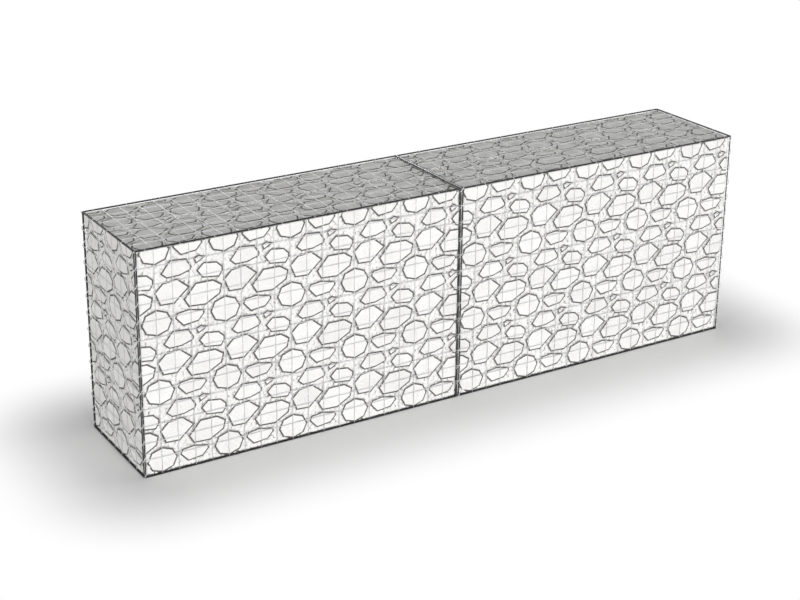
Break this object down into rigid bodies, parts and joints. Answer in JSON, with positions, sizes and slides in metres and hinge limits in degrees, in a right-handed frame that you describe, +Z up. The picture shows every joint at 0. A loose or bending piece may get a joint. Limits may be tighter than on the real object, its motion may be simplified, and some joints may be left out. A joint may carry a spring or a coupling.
{
  "type": "gabion wall",
  "caption": "Free-standing gabion wall in bays: welded wire mesh baskets filled with stone, joined by helical binders along their upright edges.",
  "frame": {"origin": "on the ground under the middle of the wall, where the diaphragm between the two bays stands", "axes": "+X along the wall to the right as seen from the front, -Y out of the front face, +Z up"},
  "size_m": [3.0346, 0.5544, 0.985],
  "materials": {
    "galvanised_wire": "satin",
    "coated_wire": "satin",
    "fill_stone": "matte"
  },
  "bodies": {
    "root": {"front_mesh_left": "galvanised_wire", "front_mesh_right": "galvanised_wire", "back_mesh_left": "galvanised_wire", "back_mesh_right": "galvanised_wire", "base_mesh_left": "galvanised_wire", "base_mesh_right": "galvanised_wire", "lid_mesh_left": "galvanised_wire", "lid_mesh_right": "galvanised_wire", "end_mesh_left": "galvanised_wire", "end_mesh_right": "galvanised_wire", "diaphragm_mesh": "galvanised_wire", "binder_front_left": "galvanised_wire", "binder_front_middle": "galvanised_wire", "binder_front_right": "galvanised_wire", "binder_back_left": "galvanised_wire", "binder_back_middle": "galvanised_wire", "binder_back_right": "galvanised_wire", "tie_wires_left_lower": "galvanised_wire", "tie_wires_left_upper": "galvanised_wire", "tie_wires_right_lower": "galvanised_wire", "tie_wires_right_upper": "galvanised_wire", "stone_fill_left_lower": "fill_stone", "stone_fill_left_middle": "fill_stone", "stone_fill_left_upper": "fill_stone", "stone_fill_right_lower": "fill_stone", "stone_fill_right_middle": "fill_stone", "stone_fill_right_upper": "fill_stone"}
  },
  "joints": []
}
